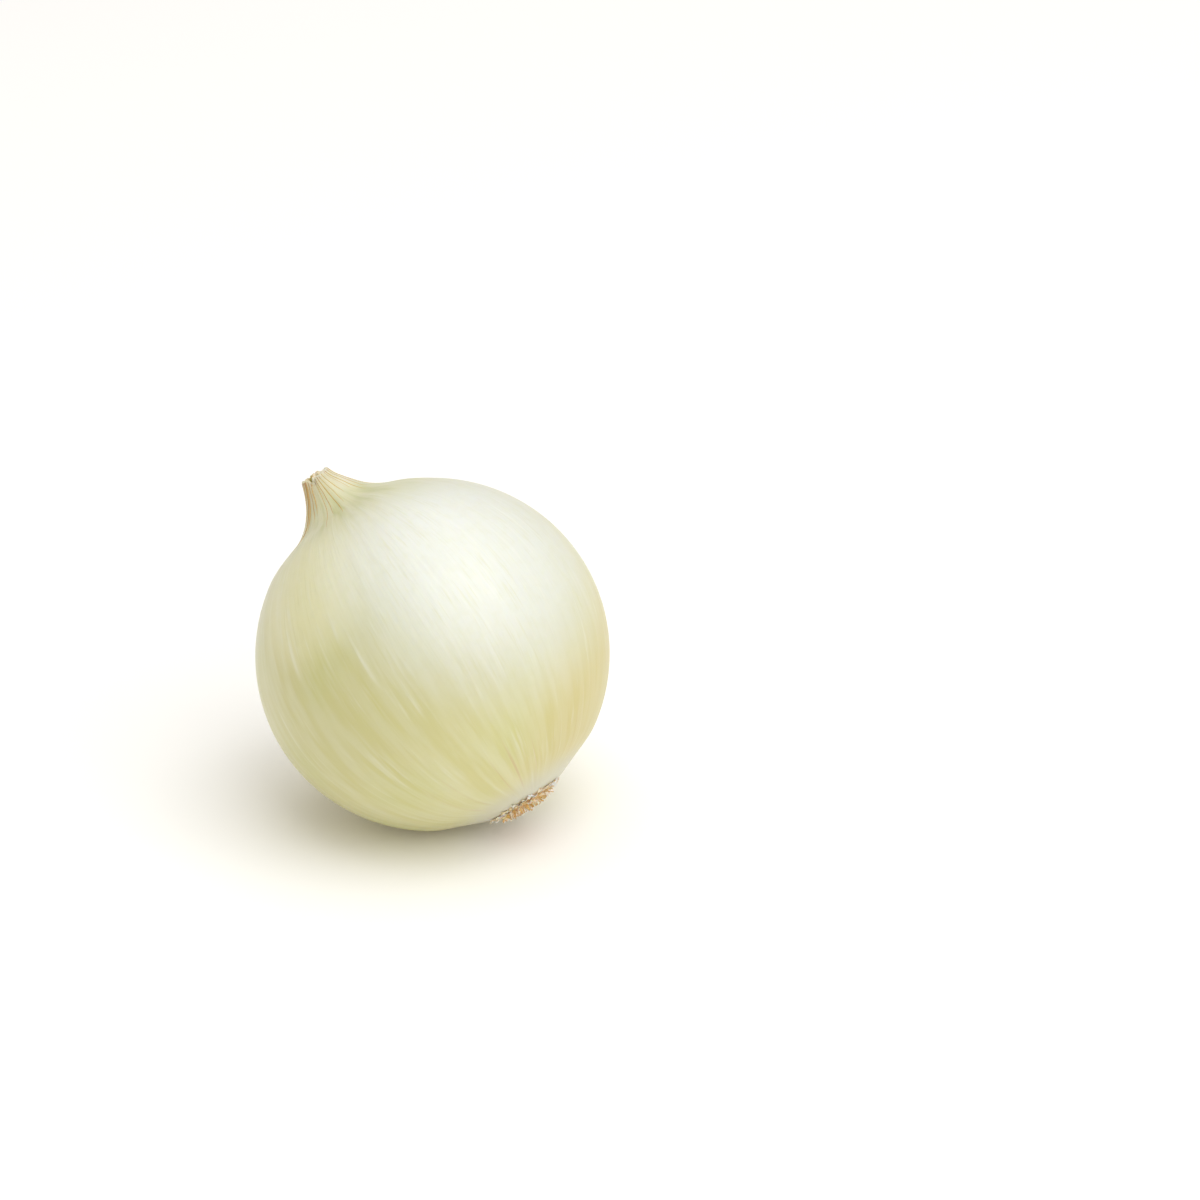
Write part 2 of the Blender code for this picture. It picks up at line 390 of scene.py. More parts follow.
# %% All the growing rules together
def grown_place(tree, sizes, radius, height, turn):
    """Where a point of the outline goes when the outline is spun and grown. Also its unit circle."""
    circle = [turn.cos(), turn.sin()]
    in_line = in_share(tree, sizes, maths("ARCTAN2", radius, height), circle, turn)
    neck_rise = height.rise(sizes["Pleats from"], NECK_TOP)
    pleats = pleat_share(tree, sizes, height, circle, neck_rise)
    across = radius * wider_share(sizes, height, turn) * in_line * pleats
    across = across + neck_pad(sizes, radius, height, turn)
    step = sizes["Neck sidestep"] * neck_rise
    x = across * circle[0] + step * sizes["Neck lean turn"].cos()
    y = across * circle[1] + step * sizes["Neck lean turn"].sin()
    z = height * in_line - cut_drop(tree, sizes, (x, y), height, circle, turn)
    place = vector_of(tree, x, y, z)

    # Whatever would be under the table is pressed flat against it.
    above_table = vector_maths("DOT_PRODUCT", place, tuple(table_up)) + body_middle.z
    push = (-above_table).at_least(0)
    lift = vector_of(tree, push * table_up.x, push * table_up.y, push * table_up.z)
    return vector_maths("ADD", place, lift), circle


# %% Helpers for trees with named inputs
def new_tree(name, sizes):
    """A geometry tree with a Geometry input, one named input for each size, and a Material input."""
    tree = bpy.data.node_groups.new(name, "GeometryNodeTree")
    tree.interface.new_socket("Geometry", in_out="INPUT", socket_type="NodeSocketGeometry")
    for size_name, value in sizes.items():
        kind = "NodeSocketInt" if isinstance(value, int) else "NodeSocketFloat"
        tree.interface.new_socket(size_name, in_out="INPUT", socket_type=kind)
    tree.interface.new_socket("Material", in_out="INPUT", socket_type="NodeSocketMaterial")
    tree.interface.new_socket("Geometry", in_out="OUTPUT", socket_type="NodeSocketGeometry")
    tree.nodes.new("NodeGroupInput")
    tree.nodes.new("NodeGroupOutput")
    return tree


def tree_inputs(tree):
    """The tree's inputs as flows, by name."""
    start = next(n for n in tree.nodes if n.bl_idname == "NodeGroupInput")
    return {out.name: Flow(tree, out) for out in start.outputs if out.name}


def end_tree(tree, geometry, material):
    """Makes instances real, gives them the material, and ends the tree."""
    real = flow(tree, "GeometryNodeRealizeInstances", {"Geometry": geometry})
    smooth = flow(tree, "GeometryNodeSetShadeSmooth", {"Geometry": real})
    dressed = add_node(tree, "GeometryNodeSetMaterial", {"Geometry": smooth, "Material": material})
    end = next(n for n in tree.nodes if n.bl_idname == "NodeGroupOutput")
    tree.links.new(dressed.outputs[0], end.inputs[0])


# %% Helpers that run a tree
def grow(obj, tree, sizes, material, upright_place=Matrix.Identity(4)):
    """Runs the tree on the object, keeps the result as its plain mesh, and lays it down."""
    modifier = obj.modifiers.new(tree.name, "NODES")
    modifier.node_group = tree
    for item in tree.interface.items_tree:
        if item.item_type == "SOCKET" and item.in_out == "INPUT":
            if item.name == "Material":
                modifier[item.identifier] = material
            elif item.name in sizes:
                modifier[item.identifier] = sizes[item.name]
    graph = bpy.context.evaluated_depsgraph_get()
    mesh = bpy.data.meshes.new_from_object(obj.evaluated_get(graph))
    obj.modifiers.remove(modifier)
    obj.data = mesh
    mesh.name = obj.name
    mesh.transform(LAY_DOWN @ upright_place)
    mesh.update()
    print(f"{obj.name}: {len(mesh.polygons)} faces")
    return obj


def empty_piece(name):
    """A piece with no points yet, for a tree that makes its own."""
    return add_object(name, bpy.data.meshes.new(name))


def register(piece, node):
    """The piece moves with the onion's one body and stands for that CAD node."""
    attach(piece, "root")
    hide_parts(node)


# %% The bulb's tree
SAME_PLACE = 1e-6


def store(tree, geometry, name, vector):
    """Keeps a vector on every point, for the finish to use."""
    inputs = {"Geometry": geometry, "Name": name, "Value": vector}
    return flow(tree, "GeometryNodeStoreNamedAttribute", inputs, data_type="FLOAT_VECTOR")


def moved(tree, geometry, place):
    """The geometry with each point put in its place."""
    return flow(tree, "GeometryNodeSetPosition", {"Geometry": geometry, "Position": place})


def bulb_tree():
    """Spins the outline into rings of points, and grows them."""
    sizes = {"Sides": BULB_SIDES, "Rows": len(outline_points), **GROWTH}
    tree = new_tree("grown_bulb", sizes)
    given = tree_inputs(tree)
    counts = {"Vertices X": given["Sides"] + 1, "Vertices Y": given["Rows"]}
    grid = flow(tree, "GeometryNodeMeshGrid", {"Size X": 1.0, "Size Y": 1.0, **counts})
    grid_x, grid_y, _ = parts_of(flow(tree, "GeometryNodeInputPosition"))
    turn = (grid_x + 0.5) * math.tau
    row = maths("ROUND", (grid_y + 0.5) * (given["Rows"] - 1))

    outline_place = flow(tree, "GeometryNodeInputPosition")
    at_row = {"Geometry": given["Geometry"], "Value": outline_place, "Index": row}
    point = flow(tree, "GeometryNodeSampleIndex", at_row, data_type="FLOAT_VECTOR")
    along_outline = flow(tree, "GeometryNodeInputNamedAttribute", {"Name": "along"}, data_type="FLOAT")
    at_row["Value"] = along_outline
    along = flow(tree, "GeometryNodeSampleIndex", at_row, data_type="FLOAT")
    radius, _, height = parts_of(point)
    place, circle = grown_place(tree, given, radius, height, turn)
    grain = vector_of(tree, *circle, along / BODY_RADIUS)
    grid = store(tree, grid, "grain", grain)
    grid = moved(tree, grid, place)
    upright = scaled(flow(tree, "GeometryNodeInputPosition"), 1 / BODY_RADIUS)
    grid = store(tree, grid, "upright", upright)
    merged = flow(tree, "GeometryNodeMergeByDistance", {"Geometry": grid, "Distance": SAME_PLACE})
    end_tree(tree, merged, given["Material"])
    return tree, sizes


# %% [markdown]
# ## The skin of the bulb
# A peeled pearl onion is bare flesh: ivory, glossy and a little see-through, so light goes in and
# comes out nearby. Its veins run from neck to root as pale and yellow-green streaks in several
# widths, with a few lines as fine as a hair. All of them are noise stretched along the grain.
# Painting them would work too, but noise in the grain's own space bends round the onion by itself
# and meets in neck and root as real veins do. The colours are laid over each other like washes.

# %% Helpers for finishes
def paint(code):
    """A colour from its six-digit screen code, as the linear colour that a shader wants."""
    shares = [int(code[i : i + 2], 16) / 255 for i in (0, 2, 4)]
    linear = [x / 12.92 if x < 0.04045 else ((x + 0.055) / 1.055) ** 2.4 for x in shares]
    return (*linear, 1.0)


def new_finish(name, **values):
    """A material, its tree and its shader, with plain values on the shader's own sockets."""
    material = bpy.data.materials.new(name)
    material.use_nodes = True
    shader = material.node_tree.nodes["Principled BSDF"]
    for socket, value in values.items():
        shader.inputs[socket.replace("_", " ")].default_value = value
    return material, material.node_tree, shader


def kept(tree, name):
    """A vector that the geometry tree stored on the points."""
    return flow(tree, "ShaderNodeAttribute", out="Vector", attribute_name=name)


def own_space(tree):
    """Where a point is in its object's own space."""
    return flow(tree, "ShaderNodeTexCoord", out="Object")


def blend(share, first, second):
    """First colour at share 0, second at share 1."""
    return flow(share.tree, "ShaderNodeMix", {0: share, 6: first, 7: second}, 2, data_type="RGBA")


def wash(colour, share, code):
    """The colour with a screen colour laid over it, as thickly as the share says."""
    return blend(share, colour, paint(code))


def dent(tree, shader, height, strength, depth):
    """Lets a height, as a flow, tilt the light on the surface."""
    inputs = {"Height": height, "Strength": strength, "Distance": depth}
    feed(tree, shader.inputs["Normal"], flow(tree, "ShaderNodeBump", inputs))


# %% Sides of the bulb: painted light on three of them (a highlight, a warm reflection with shade, a rim light), and the side that the neck leans to
# A painted highlight: the flank that faces the lamps and the camera is washed paler.
PAINTED_HIGHLIGHT_SIDE = TO_UPRIGHT @ Vector((0.465, -0.189, 0.865))
# A painted warm reflection with painted shade: one low flank is washed darker ochre.
PAINTED_WARM_REFLECTION_SHADE_SIDE = TO_UPRIGHT @ Vector((0.90, 0.35, -0.25))
# A painted rim light: one upper flank is washed pale cream.
PAINTED_RIM_LIGHT_SIDE = TO_UPRIGHT @ Vector((-0.30, -0.76, 0.58))
LEAN_SIDE = Vector((math.cos(GROWTH["Neck lean turn"]), math.sin(GROWTH["Neck lean turn"]), 0))


def facing(side, body):
    """How much a point lies on that side of the bulb: 1 in the side's middle, 0 a quarter turn away."""
    return vector_maths("DOT_PRODUCT", body, tuple(side))


# %% Streaks along the grain
# For each kind: its width across the grain and its length along it, in shares of the body's radius,
# and the detail of its noise.
STREAKS = {
    "wide": (0.075, 0.55, 1.5),
    "middle": (0.035, 0.38, 2.0),
    "fine": (0.014, 0.22, 2.0),
    "flash": (0.045, 0.5, 1.5),
    "neck": (0.16, 0.35, 2.0),
    "hair": (0.09, 60.0, 0.0),
}


def flesh_streaks(tree):
    """Each kind of streak as a flow, by name."""
    across, around, along = parts_of(kept(tree, "grain"))
    found = {}
    for name, (width, length, detail) in STREAKS.items():
        space = vector_of(tree, across / width, around / width, along / length)
        found[name] = noise(space, 1.0, detail, 0.55)
    return found


# %% The flesh's colours
PATCHES = 1.6
CLEARINGS = 2.6
MOTTLES = 15.0


def body_colour(streaks, body, from_neck):
    """Straw and ivory streaks, green patches, and painted light: warm reflection with shade, rim light,
    highlight.
    """
    patches = noise(body, PATCHES, detail=1.0)
    colour = blend(streaks["wide"].rise(0.34, 0.66), paint("D0CA8C"), paint("D8D4A6"))
    colour = wash(colour, patches.rise(0.38, 0.68, 0.0, 0.45), "C6C87C")
    colour = wash(colour, from_neck.band(1.05, 2.35) * 0.33, "C0BD7A")
    colour = wash(colour, from_neck.rise(1.3, 0.6, 0.0, 0.4), "E2E1C4")
    # Painted warm reflection and shade: darker ochre on one low flank.
    colour = wash(colour, facing(PAINTED_WARM_REFLECTION_SHADE_SIDE, body).rise(0.62, 1.0, 0.0, 0.7), "CBBA70")
    # Painted rim light: pale cream on one upper flank.
    colour = wash(colour, facing(PAINTED_RIM_LIGHT_SIDE, body).rise(0.87, 1.0, 0.0, 0.7), "EEEABF")
    # Painted highlight: the flank that faces the lamps is washed paler, less so near the neck.
    off_neck = from_neck.rise(0.15, 0.85, 0.2, 1.0)
    return wash(colour, facing(PAINTED_HIGHLIGHT_SIDE, body).rise(0.43, 0.98, 0.0, 0.85) * off_neck, "E6E8E4")


def streak_colour(colour, streaks, body, from_neck, from_root):
    """The veins in the flesh: pale, yellow-green, a few bright flashes, mottles and tan hairs."""
    clear = noise(body, CLEARINGS, detail=1.0).rise(0.38, 0.62, 0.2, 1.0)
    mottle = noise(body, MOTTLES)
    flash = streaks["flash"].rise(0.56, 0.78) * from_neck.band(0.6, 2.0)
    hair = streaks["hair"].band(0.490, 0.510) * from_root.band(0.15, 0.95) * clear
    colour = wash(colour, streaks["middle"].rise(0.52, 0.76, 0.0, 0.28) * clear, "EBEBDE")
    colour = wash(colour, streaks["fine"].rise(0.50, 0.75, 0.0, 0.22) * clear, "C8C480")
    colour = wash(colour, flash * 0.32, "F2F2EA")
    colour = wash(colour, mottle.rise(0.45, 0.7, 0.0, 0.06), "C5C27A")
    return wash(colour, hair * 0.5, "C49A78")


def end_colour(colour, streaks, body, from_neck, from_root):
    """Grey-white next to the roots, darkened as painted shade, then a brown band of painted shade under
    the flakes; green and then dry and tan at the neck.
    """
    _, _, height = parts_of(body)
    # Grey-white skin next to the roots, darkened there as painted shade.
    colour = wash(colour, from_root.rise(0.55, 0.25), "CFCCB4")
    # Painted shade: a brown band under the root flakes, so the shade between them reads brown.
    colour = wash(colour, from_root.rise(0.24, 0.19, 0.0, 0.85), "CFA76A")
    green = from_neck.band(0.05, 0.62) * streaks["neck"].rise(0.42, 0.66, 0.0, 0.65)
    colour = wash(colour, green, "C2C488")
    dry = height.rise(1.02, 1.18) * streaks["middle"].rise(0.35, 0.6, 0.3, 0.8)
    colour = wash(colour, dry, "E4D4AC")
    off_lean = facing(LEAN_SIDE, body).rise(0.0, -0.12) * height.rise(1.0, 1.12)
    return wash(colour, off_lean * 0.6, "F0E6D4")


# %% The flesh's finish
FLESH_DEPTH = {
    "Subsurface_Weight": 0.4,
    "Subsurface_Radius": (1.0, 0.85, 0.4),
    "Subsurface_Scale": 0.0022,
}
FLESH_GLOSS = {"Coat_Weight": 0.7, "Coat_Roughness": 0.45}


def flesh_finish():
    """Ivory flesh that light goes into, under a soft wet gloss."""
    material, tree, shader = new_finish("pearl_flesh", Roughness=0.42, **FLESH_DEPTH, **FLESH_GLOSS)
    body = kept(tree, "upright")
    x, y, z = parts_of(body)
    from_neck = maths("ARCTAN2", (x * x + y * y) ** 0.5, z)
    from_root = math.pi - from_neck
    streaks = flesh_streaks(tree)
    colour = body_colour(streaks, body, from_neck)
    colour = streak_colour(colour, streaks, body, from_neck, from_root)
    colour = end_colour(colour, streaks, body, from_neck, from_root)
    feed(tree, shader.inputs["Base Color"], colour)
    relief = streaks["wide"] * 0.5 + streaks["middle"] * 0.3 + streaks["fine"] * 0.1
    dent(tree, shader, relief, strength=0.3, depth=0.0004)
    return material


flesh = flesh_finish()
print("finish:", flesh.name, len(flesh.node_tree.nodes), "nodes")

# %% [markdown]
# ## Growing and placing the bulb
# The tree runs once on the outline. Its modifier could stay live, but the pieces are handed on as
# plain meshes, so what the tree makes is kept as one and laid down on the table. The distance to the
# CAD bulb shows that the two agree.

# %% Grow the bulb
bulb_growth, bulb_sizes = bulb_tree()
bulb = grow(outline_object("bulb_skin", outline_points), bulb_growth, bulb_sizes, flesh)

cad_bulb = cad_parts["bulb"]
cad_mesh = cad_bulb.data
cad_tree = BVHTree.FromPolygons([v.co for v in cad_mesh.vertices], [p.vertices for p in cad_mesh.polygons])
far = max(cad_tree.find_nearest(v.co)[3] for v in bulb.data.vertices)
print(f"farthest point of the bulb from the CAD bulb: {1000 * far:.2f} mm")

register(bulb, "bulb")

# %% [markdown]
# ## The veins of the neck
# Where the leaves dried, their veins stand out as thin tan cords that fan out over the shoulder. Each
# is a tapered tube. Cords drawn one by one would look as good, but the tree below lays one unit tube
# along the outline as often as asked, and the same growing rules bend it, so every cord lies on the
# skin. The copies stand in a row first, so a point's x tells which copy it belongs to.

# %% Copies of a unit piece
APART = 10.0


def copies_of(tree, unit_piece, count):
    """Copies of a unit piece in a row, each copy's number, and each point's place in its own copy."""
    row = flow(tree, "GeometryNodeMeshLine", {"Count": count, "Offset": (APART, 0, 0)})
    copies = flow(tree, "GeometryNodeInstanceOnPoints", {"Points": row, "Instance": unit_piece})
    copies = flow(tree, "GeometryNodeRealizeInstances", {"Geometry": copies})
    x, y, z = parts_of(flow(tree, "GeometryNodeInputPosition"))
    number = maths("ROUND", x / APART)
    return copies, number, (x - number * APART, y, z + 0.5)


def unit_tube(tree, sides, rings):
    """A closed tube of radius 1 and length 1, upright round its middle."""
    counts = {"Vertices": sides, "Side Segments": rings}
    return flow(tree, "GeometryNodeMeshCylinder", {**counts, "Radius": 1.0, "Depth": 1.0})


def random_of(number, low, high, key):
    """A random value for each copy, always the same one for the same key."""
    inputs = {2: low, 3: high, 7: number, 8: key}
    return flow(number.tree, "FunctionNodeRandomValue", inputs, 1, data_type="FLOAT")


# %% The tree of the neck's veins
NECK_VEINS = {
    "Veins": 33,
    "Shortest": 0.0042,
    "Longest": 0.0104,
    "Mostly short": 1.2,
    "Half width": 0.000050,
    "Thinnest": 0.65,
    "Thickest": 1.2,
    "Stouter": 0.3,
    "Tail thinning": 0.8,
    "Sink": 0.00002,
    "Off its place": 0.38,
    "Wander": 0.16,
}
VEIN_SIDES = 6
VEIN_RINGS = 44
VEIN_BELOW_RIM = 0.00002
SWAYS_APART = 7.3
SWAYS_ALONG = 2.2


def length_to(points, place):
    """How far along the outline its point nearest to that place is."""
    nearest = min(range(len(points)), key=lambda i: (points[i] - place).length)
    return sum((points[i] - points[i - 1]).length for i in range(1, nearest + 1))


VEIN_START = length_to(outline_points, Vector((NECK_RADIUS, NECK_TOP))) - VEIN_BELOW_RIM


def neck_vein_tree():
    """Bends each tube along the outline, turned to its own place round the neck, and grows it."""
    sizes = {**NECK_VEINS, **GROWTH}
    tree = new_tree("neck_veins", sizes)
    given = tree_inputs(tree)
    tube = unit_tube(tree, VEIN_SIDES, VEIN_RINGS)
    veins, number, (x, y, share) = copies_of(tree, tube, given["Veins"])
    chance = random_of(number, 0.0, 1.0, 1) ** given["Mostly short"]
    length = given["Shortest"] + (given["Longest"] - given["Shortest"]) * chance
    distance = VEIN_START - share * length

    curve = flow(tree, "GeometryNodeMeshToCurve", {"Mesh": given["Geometry"]})
    here = {"Curves": curve, "Length": distance}
    sample = add_node(tree, "GeometryNodeSampleCurve", here, mode="LENGTH", data_type="FLOAT")
    radius, _, height = parts_of(Flow(tree, sample.outputs["Position"]))
    tangent_r, _, tangent_h = parts_of(Flow(tree, sample.outputs["Tangent"]))

    off_place = random_of(number, -given["Off its place"], given["Off its place"], 2)
    turn = (number + off_place) * (math.tau / given["Veins"])
    sway_space = vector_of(tree, number * SWAYS_APART, share * SWAYS_ALONG, 0.5)
    turn = turn + uneven(sway_space, 1.0, 0.5, given["Wander"])
    leaning = (turn - given["Neck lean turn"]).cos()
    thick = random_of(number, given["Thinnest"], given["Thickest"], 3)
    thick = thick * (1 - share.rise(0.5, 1.0, 0.0, given["Tail thinning"]))
    half = given["Half width"] * thick * (1 + given["Stouter"] * leaning)
    out = y * half - given["Sink"]
    place, _ = grown_place(
        tree, given, radius + tangent_h * out, height - tangent_r * out, turn + x * half / radius
    )
    veins = store(tree, veins, "shade", vector_of(tree, random_of(number, 0.0, 1.0, 4), share, leaning))
    end_tree(tree, moved(tree, veins, place), given["Material"])
    return tree, sizes


# %% The veins' finish
VEIN_FLECKS = 9000.0
VEIN_DEPTH = {
    "Subsurface_Weight": 0.2,
    "Subsurface_Radius": (1.0, 0.7, 0.4),
    "Subsurface_Scale": 0.0006,
}


def vein_finish():
    """Tan and flecked: browner at the rim, greener at the tail, golden on the side off the lean."""
    material, tree, shader = new_finish("dried_vein", Roughness=0.5, **VEIN_DEPTH)
    chance, share, leaning = parts_of(kept(tree, "shade"))
    colour = blend(chance.rise(0.1, 0.9), paint("C0904E"), paint("D2AE6C"))
    colour = wash(colour, leaning.rise(0.5, -0.5, 0.0, 0.85), "D6B856")
    colour = wash(colour, share.rise(0.6, 1.0), "DAD49A")
    colour = wash(colour, share.rise(0.10, 0.0), "BE9060")
    flecks = noise(own_space(tree), VEIN_FLECKS)
    colour = wash(colour, flecks.rise(0.55, 0.75, 0.0, 0.4), "B98A58")
    feed(tree, shader.inputs["Base Color"], colour)
    return material


# %% Lay the veins
vein_tree, vein_sizes = neck_vein_tree()
neck_veins = grow(outline_object("neck_veins", outline_points), vein_tree, vein_sizes, vein_finish())
register(neck_veins, "bulb")

# %% [markdown]
# ## The young leaf in the neck
# Inside the cut neck sits the youngest leaf, rolled like a scroll. Its section is a spiral, which is
# a rule again: the tube's ring runs out along the spiral's outer face and back along its inner face.
# A spiral curve with a thickness would look the same, but a tube is closed at both ends by itself.

# %% The tree of the young leaf
YOUNG_LEAF = {
    "Turns": 2.3,
    "Inner radius": 0.00022,
    "Outer radius": 0.00098,
    "Wall": 0.00013,
    "Foot": NECK_TOP - 0.0021,
    "Length": 0.00232,
    "Taper": 0.16,
    "Squareness": 0.35,
    "Ragged": 0.00030,
    "Rags": 5.0,
    "Outer drop": 0.0002,
    "Seed": 2.1,
}
LEAF_SIDES = 160
LEAF_RINGS = 14


def young_leaf_tree():
    """Rolls the tube: half of its ring is the scroll's inner face, the other half its outer face."""
    tree = new_tree("young_leaf", YOUNG_LEAF)
    given = tree_inputs(tree)
    tube = unit_tube(tree, LEAF_SIDES, LEAF_RINGS)
    x, y, z = parts_of(flow(tree, "GeometryNodeInputPosition"))
    share_up = z + 0.5
    ring = maths("ARCTAN2", y, x)
    way = maths("ABSOLUTE", ring) / math.pi
    side = maths("SIGN", ring) * (way * math.pi).sin() ** given["Squareness"]
    turn = way * given["Turns"] * math.tau
    radius = given["Inner radius"] + (given["Outer radius"] - given["Inner radius"]) * way
    radius = radius + side * given["Wall"] * 0.5
    radius = radius * (1 - given["Taper"] * share_up)
    edge = uneven(vector_of(tree, way * given["Rags"], given["Seed"], 0.0), 3.0, 0.5, 2 * given["Ragged"])
    rim = given["Length"] + edge - way * given["Outer drop"]
    height = given["Foot"] + rim * share_up
    place = vector_of(tree, radius * turn.cos(), radius * turn.sin(), height)
    tube = store(tree, tube, "shade", vector_of(tree, way, share_up, side))
    end_tree(tree, moved(tree, tube, place), given["Material"])
    return tree


# %% The young leaf's finish
LEAF_DEPTH = {"Subsurface_Weight": 0.3, "Subsurface_Scale": 0.0008}
LEAF_VEINS_AROUND = 60.0
LEAF_VEINS_ALONG = 1.5


def leaf_finish():
    """Olive and yellow-green along the grain, with a drier rim."""
    material, tree, shader = new_finish("young_leaf_green", Roughness=0.45, **LEAF_DEPTH)
    way, share_up, _ = parts_of(kept(tree, "shade"))
    grain = noise(vector_of(tree, way * LEAF_VEINS_AROUND, share_up * LEAF_VEINS_ALONG, 0.0), 1.0)
    colour = blend(grain.rise(0.35, 0.65), paint("A9A038"), paint("C9C062"))
    colour = wash(colour, share_up.rise(0.9, 1.0, 0.0, 0.5), "D2B25E")
    feed(tree, shader.inputs["Base Color"], colour)
    dent(tree, shader, grain, strength=0.4, depth=0.00005)
    return material


# %% Roll the young leaf
IN_NECK = Matrix.Translation(LEAN_SIDE * GROWTH["Neck sidestep"])
young_leaf = grow(empty_piece("young_leaf"), young_leaf_tree(), YOUNG_LEAF, leaf_finish(), IN_NECK)
register(young_leaf, "inner_leaf")

# %% [markdown]
# ## Sprigs: root stubs, flakes and shreds
# Three things on the onion are many small sprigs that stand on a domed disc and lean out or in: the
# stubs of cut roots, the papery flakes round them, and the shreds of dry leaf on the neck's rim. One
# tree makes all three from named sizes. It spreads the sprigs by the golden angle, the way seeds sit in a
# sunflower, so they never line up. Copies could be set by hand too, but that takes hours, and a tree
# can be changed in one place.

# %% The tree of the sprigs
GOLDEN_ANGLE = math.pi * (3 - math.sqrt(5))
SPRIG_SIDES = 8
SPRIG_RINGS = 6
REACH_SPREAD = 0.06
AROUND_SPREAD = 0.25
THICK_SPREAD = 0.3
SPLAY_LATE = 1.5
TAPER_LATE = 1.5
BACK_CURL = 0.4
SUNK_SHARE = 0.15
CRUMPLES_APART = 3.1
CRUMPLES_ALONG = 2.5
CRUMPLES_ACROSS = 0.8


def sprig_tree(name, sizes):
    """Stands a tube on each place of a domed disc, splayed, tapered, curled and crumpled."""
    tree = new_tree(name, sizes)
    given = tree_inputs(tree)
    tube = unit_tube(tree, SPRIG_SIDES, SPRIG_RINGS)
    sprigs, number, (x, y, share) = copies_of(tree, tube, given["Count"])
    spread = ((number + 0.5) / given["Count"]) ** 0.5
    reach = given["Inner reach"] + (given["Outer reach"] - given["Inner reach"]) * spread
    reach = reach * random_of(number, 1 - REACH_SPREAD, 1 + REACH_SPREAD, 1)
    around = number * GOLDEN_ANGLE + random_of(number, -AROUND_SPREAD, AROUND_SPREAD, 2)
    down = -((given["Base"] ** 2 - reach**2) ** 0.5)
    base = vector_of(tree, reach * around.cos(), reach * around.sin(), down)

    tilt = given["Inner splay"] + (given["Outer splay"] - given["Inner splay"]) * spread**SPLAY_LATE
    tilt = tilt + random_of(number, -1.0, 1.0, 3) * given["Tilt spread"]
    aim = around + random_of(number, -1.0, 1.0, 4) * given["Aim spread"]
    forward = vector_of(tree, tilt.sin() * aim.cos(), tilt.sin() * aim.sin(), -tilt.cos())
    sideways = vector_of(tree, aim.sin(), -aim.cos(), 0.0)
    outward = vector_maths("CROSS_PRODUCT", forward, sideways)

    length = random_of(number, given["Shortest"], given["Longest"], 5)
    taper = 1 - (1 - given["Tip share"]) * share**TAPER_LATE
    thick = random_of(number, 1 - THICK_SPREAD, 1 + THICK_SPREAD, 6) * taper
    crumple_space = (number * CRUMPLES_APART, share * CRUMPLES_ALONG, x * CRUMPLES_ACROSS)
    crumple = uneven(vector_of(tree, *crumple_space), 2.0, 0.5, given["Crumple"])
    curl = random_of(number, -BACK_CURL, 1.0, 7) * given["Curl"]
    bend = curl * share**2 + crumple
    above_base = share * (1 + SUNK_SHARE) - SUNK_SHARE
    place = vector_maths("ADD", base, scaled(forward, length * above_base))
    place = vector_maths("ADD", place, scaled(sideways, x * given["Half width"] * thick))
    place = vector_maths("ADD", place, scaled(outward, y * given["Half depth"] * thick + bend * length))
    shade = vector_of(tree, random_of(number, 0.0, 1.0, 8), share, random_of(number, 0.0, 1.0, 9))
    sprigs = store(tree, sprigs, "shade", shade)
    end_tree(tree, moved(tree, sprigs, place), given["Material"])
    return tree


# %% The sprigs' finish
SPRIG_SPECKLES = 6000.0
SPRIG_DEPTH = {"Subsurface_Weight": 0.15, "Subsurface_Scale": 0.0004}


def sprig_finish(name, dark, middle, light, roughness):
    """Papery or corky: speckled, darker at the tips, and each sprig with its own shade."""
    material, tree, shader = new_finish(name, Roughness=roughness, **SPRIG_DEPTH)
    chance, share, other = parts_of(kept(tree, "shade"))
    colour = blend(chance.rise(0.15, 0.85), paint(middle), paint(light))
    speckle = noise(own_space(tree), SPRIG_SPECKLES, detail=3.0)
    colour = wash(colour, speckle.rise(0.45, 0.7) * other, dark)
    colour = wash(colour, share.rise(0.8, 1.0, 0.0, 0.6), dark)
    colour = wash(colour, chance.rise(0.74, 0.82), light)
    feed(tree, shader.inputs["Base Color"], colour)
    dent(tree, shader, speckle, strength=0.5, depth=0.00006)
    return material


def grow_sprigs(name, sizes, finish, node, upright_place=Matrix.Identity(4)):
    """One piece made of many sprigs, registered for the CAD node that it stands for."""
    sprigs = grow(empty_piece(name), sprig_tree(name, sizes), sizes, finish, upright_place)
    register(sprigs, node)


# %% [markdown]
# ## The root plate
# The roots grew from a corky plate. It is dry, lumpy and brown, and mostly hidden by the cut stubs
# and flakes on it. A ball pressed flat by its tree is enough for what shows between them, and noise
# gives it the lumps. Sculpting would give a finer plate, but nobody would see it.

# %% The disc of the root plate
PLATE_DISC = {
    "Radius": 0.00262,
    "Half depth": 0.00034,
    "Middle": 0.01478,
    "Lump depth": 0.00016,
    "Edge share": 0.08,
    "Seed": 5.2,
}
DISC_SIDES = 96
DISC_RINGS = 48
LUMPS_ACROSS = 7.0
LUMPS_DOWN = 2.0
EDGE_WAVES = 2.5


